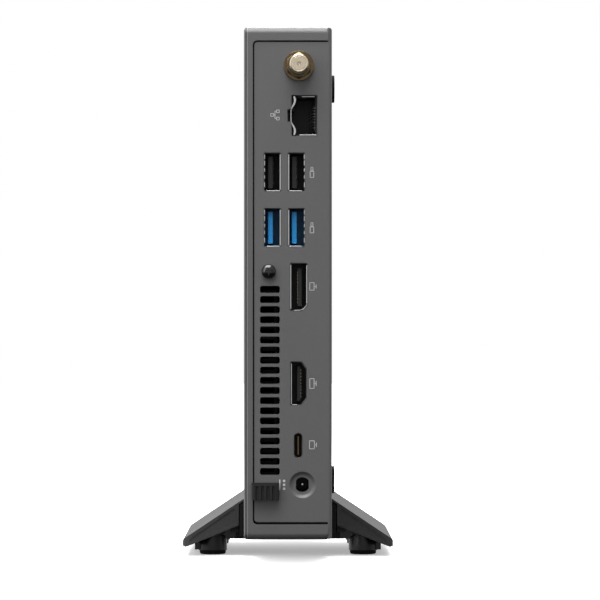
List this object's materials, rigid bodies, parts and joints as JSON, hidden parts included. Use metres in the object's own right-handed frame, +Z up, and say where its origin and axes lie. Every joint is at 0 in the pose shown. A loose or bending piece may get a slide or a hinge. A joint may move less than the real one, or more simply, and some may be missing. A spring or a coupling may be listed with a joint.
{
  "type": "mini pc",
  "caption": "Slim one-litre desktop computer in dark grey steel, held upright by a winged vertical stand, with sockets and vents on its narrow rear face.",
  "frame": {"origin": "on the ground under the middle of the overall box, midway between the casing's sides", "axes": "+Z up; +Y out of the rear socket panel, -Y out of the front bezel; +X out of the cover's broad side, -X out of the base tray's broad side"},
  "size_m": [0.0764, 0.1876, 0.1863],
  "materials": {
    "casing_paint": "fine-textured dark grey powder coat",
    "bezel_plastic": "fine-textured moulded plastic",
    "stand_plastic": "fine-textured moulded plastic",
    "liner_rubber": "soft matt rubber",
    "foot_rubber": "soft matt rubber",
    "black_plastic": "satin black plastic",
    "blue_plastic": "satin blue plastic",
    "screw_steel": "black oxide steel",
    "socket_steel": "bright tinned steel",
    "gold_plate": "satin gold plate",
    "copper": "bare copper",
    "aluminium": "bare sheet aluminium",
    "circuit_board": "green solder mask",
    "light_lens": "frosted clear plastic lens"
  },
  "bodies": {
    "stand": {"stand_base": "stand_plastic", "stand_liner": "liner_rubber", "stand_foot_1": "foot_rubber", "stand_foot_2": "foot_rubber", "stand_foot_3": "foot_rubber", "stand_foot_4": "foot_rubber"},
    "chassis": {"cover_shell": "casing_paint", "base_tray": "casing_paint", "front_bezel": "bezel_plastic", "case_foot_1": "foot_rubber", "case_foot_2": "foot_rubber", "case_foot_3": "foot_rubber", "case_foot_4": "foot_rubber", "usb_upper_insert": "black_plastic", "video_upper_insert": "black_plastic", "video_lower_insert": "black_plastic", "power_inlet": "black_plastic", "blower_housing": "black_plastic", "memory_socket": "black_plastic", "audio_jack": "black_plastic", "power_switch": "black_plastic", "antenna_lead": "black_plastic", "intake_filter": "black_plastic", "usb_lower_insert": "blue_plastic", "front_usb_insert": "blue_plastic", "cover_screw": "screw_steel", "network_jack": "socket_steel", "usb_upper_shell": "socket_steel", "usb_lower_shell": "socket_steel", "video_upper_shell": "socket_steel", "video_lower_shell": "socket_steel", "usb_c_shell": "socket_steel", "front_usb_shell": "socket_steel", "front_usb_c_shell": "socket_steel", "antenna_washer": "socket_steel", "antenna_nut": "socket_steel", "inlet_pin": "socket_steel", "coin_cell": "socket_steel", "fan_shaft": "socket_steel", "board_standoff_1": "socket_steel", "board_standoff_2": "socket_steel", "board_standoff_3": "socket_steel", "board_standoff_4": "socket_steel", "antenna_jack": "gold_plate", "usb_c_insert": "gold_plate", "front_usb_c_insert": "gold_plate", "cold_plate": "copper", "heat_pipe": "copper", "fin_stack": "aluminium", "processor": "aluminium", "motherboard": "circuit_board", "memory_lower": "circuit_board", "memory_upper": "circuit_board", "solid_state_drive": "circuit_board", "wireless_card": "circuit_board", "status_light": "light_lens"},
    "button": {"power_button": "bezel_plastic"},
    "latch": {"cover_latch": "black_plastic"},
    "rotor": {"fan_rotor": "black_plastic"}
  },
  "joints": [
    {"name": "chassis_lift", "type": "slide", "parent": "stand", "child": "chassis", "axis": [0, 0, 1], "range_m": [0, 0.04]},
    {"name": "button_press", "type": "slide", "parent": "chassis", "child": "button", "axis": [0, 1, 0], "range_m": [0, 0.0006], "stiffness_N_per_m": 1500, "springref_m": -0.0003},
    {"name": "latch_slide", "type": "slide", "parent": "chassis", "child": "latch", "axis": [-1, 0, 0], "range_m": [0, 0.0025], "stiffness_N_per_m": 500, "springref_m": -0.0005},
    {"name": "fan_spin", "type": "hinge", "parent": "chassis", "child": "rotor", "pos_m": [0.0082, 0.0132, 0.0633], "axis": [1, 0, 0], "continuous": true}
  ]
}
